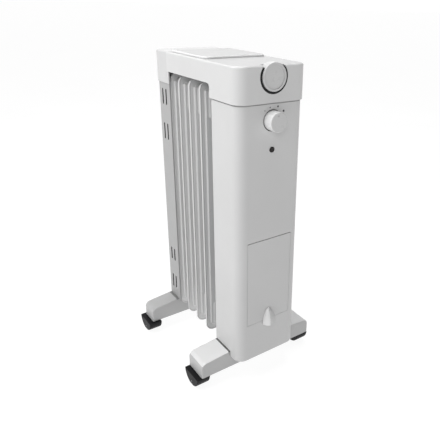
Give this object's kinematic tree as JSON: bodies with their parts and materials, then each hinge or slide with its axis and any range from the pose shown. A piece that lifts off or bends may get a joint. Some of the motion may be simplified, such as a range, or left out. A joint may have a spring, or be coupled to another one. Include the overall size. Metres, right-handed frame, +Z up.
{
  "type": "oil filled radiator heater",
  "caption": "Upright oil filled electric radiator on casters, with a front control housing, round dial, selector knob, cord compartment door and finned heating column.",
  "frame": {"origin": "on the floor, midway between the two side faces of the body and near the middle of its depth", "axes": "+Z up, the controls face -Y, +X is to the right of a person who faces the controls"},
  "size_m": [0.283, 0.339, 0.6449],
  "materials": {
    "white_plastic": "satin moulded",
    "fin_paint": "semi-gloss baked enamel",
    "grey_plastic": "matte moulded",
    "black_plastic": "fine matte",
    "wheel_plastic": "smooth hard plastic",
    "lamp_lens": "polished",
    "steel": "zinc plated"
  },
  "bodies": {
    "heater": {"back_plate_screws": "steel", "cord_compartment": "grey_plastic", "cord_gland": "black_plastic", "cord_hooks": "grey_plastic", "dial_well": "black_plastic", "door_hinge_pins": "steel", "filler_plug": "fin_paint", "fin_1": "fin_paint", "fin_2": "fin_paint", "fin_3": "fin_paint", "fin_4": "fin_paint", "foot_screws": "steel", "front_back_plate": "steel", "front_base_plate": "steel", "front_foot": "white_plastic", "front_housing": "white_plastic", "header_plugs": "fin_paint", "heating_element": "steel", "lid_hinge_pin": "steel", "lower_collars": "fin_paint", "pilot_holder": "black_plastic", "pilot_lens": "lamp_lens", "rear_base_plate": "steel", "rear_bracket": "steel", "rear_cap": "white_plastic", "rear_foot": "white_plastic", "rear_housing": "white_plastic", "rear_housing_screws": "steel", "selector_switch": "black_plastic", "terminal_block": "black_plastic", "thermal_cutout": "steel", "thermostat_body": "black_plastic", "tilt_switch": "black_plastic", "top_cover": "white_plastic", "upper_collars": "fin_paint", "water_tray": "grey_plastic"},
    "dial": {"thermostat_dial": "white_plastic", "dial_shaft": "steel"},
    "selector": {"selector_knob": "white_plastic", "selector_shaft": "steel"},
    "cord_door": {"cord_door": "white_plastic"},
    "lid": {"top_lid": "white_plastic"},
    "caster_fl": {"caster_hood_fl": "black_plastic", "caster_stem_fl": "steel", "caster_axle_fl": "steel"},
    "wheels_fl": {"caster_wheels_fl": "wheel_plastic"},
    "caster_fr": {"caster_hood_fr": "black_plastic", "caster_stem_fr": "steel", "caster_axle_fr": "steel"},
    "wheels_fr": {"caster_wheels_fr": "wheel_plastic"},
    "caster_rl": {"caster_hood_rl": "black_plastic", "caster_stem_rl": "steel", "caster_axle_rl": "steel"},
    "wheels_rl": {"caster_wheels_rl": "wheel_plastic"},
    "caster_rr": {"caster_hood_rr": "black_plastic", "caster_stem_rr": "steel", "caster_axle_rr": "steel"},
    "wheels_rr": {"caster_wheels_rr": "wheel_plastic"}
  },
  "joints": [
    {"name": "dial_turn", "type": "hinge", "parent": "heater", "child": "dial", "pos_m": [0, -0.147, 0.6205], "axis": [0, 1, 0], "range_deg": [0, 270]},
    {"name": "selector_turn", "type": "hinge", "parent": "heater", "child": "selector", "pos_m": [0, -0.16, 0.546], "axis": [0, 1, 0], "range_deg": [-35, 70]},
    {"name": "door_hinge", "type": "hinge", "parent": "heater", "child": "cord_door", "pos_m": [0, -0.1473, 0.316], "axis": [-1, 0, 0], "range_deg": [0, 95]},
    {"name": "lid_hinge", "type": "hinge", "parent": "heater", "child": "lid", "pos_m": [0, 0.094, 0.64205], "axis": [-1, 0, 0], "range_deg": [0, 95]},
    {"name": "swivel_fl", "type": "hinge", "parent": "heater", "child": "caster_fl", "pos_m": [-0.127, -0.0955, 0.04], "axis": [0, 0, 1], "continuous": true},
    {"name": "roll_fl", "type": "hinge", "parent": "caster_fl", "child": "wheels_fl", "pos_m": [-0.132, -0.0895, 0.011], "axis": [1, 0, 0], "continuous": true},
    {"name": "swivel_fr", "type": "hinge", "parent": "heater", "child": "caster_fr", "pos_m": [0.127, -0.0955, 0.04], "axis": [0, 0, 1], "continuous": true},
    {"name": "roll_fr", "type": "hinge", "parent": "caster_fr", "child": "wheels_fr", "pos_m": [0.122, -0.0895, 0.011], "axis": [1, 0, 0], "continuous": true},
    {"name": "swivel_rl", "type": "hinge", "parent": "heater", "child": "caster_rl", "pos_m": [-0.127, 0.132, 0.04], "axis": [0, 0, 1], "continuous": true},
    {"name": "roll_rl", "type": "hinge", "parent": "caster_rl", "child": "wheels_rl", "pos_m": [-0.132, 0.138, 0.011], "axis": [1, 0, 0], "continuous": true},
    {"name": "swivel_rr", "type": "hinge", "parent": "heater", "child": "caster_rr", "pos_m": [0.127, 0.132, 0.04], "axis": [0, 0, 1], "continuous": true},
    {"name": "roll_rr", "type": "hinge", "parent": "caster_rr", "child": "wheels_rr", "pos_m": [0.122, 0.138, 0.011], "axis": [1, 0, 0], "continuous": true}
  ]
}
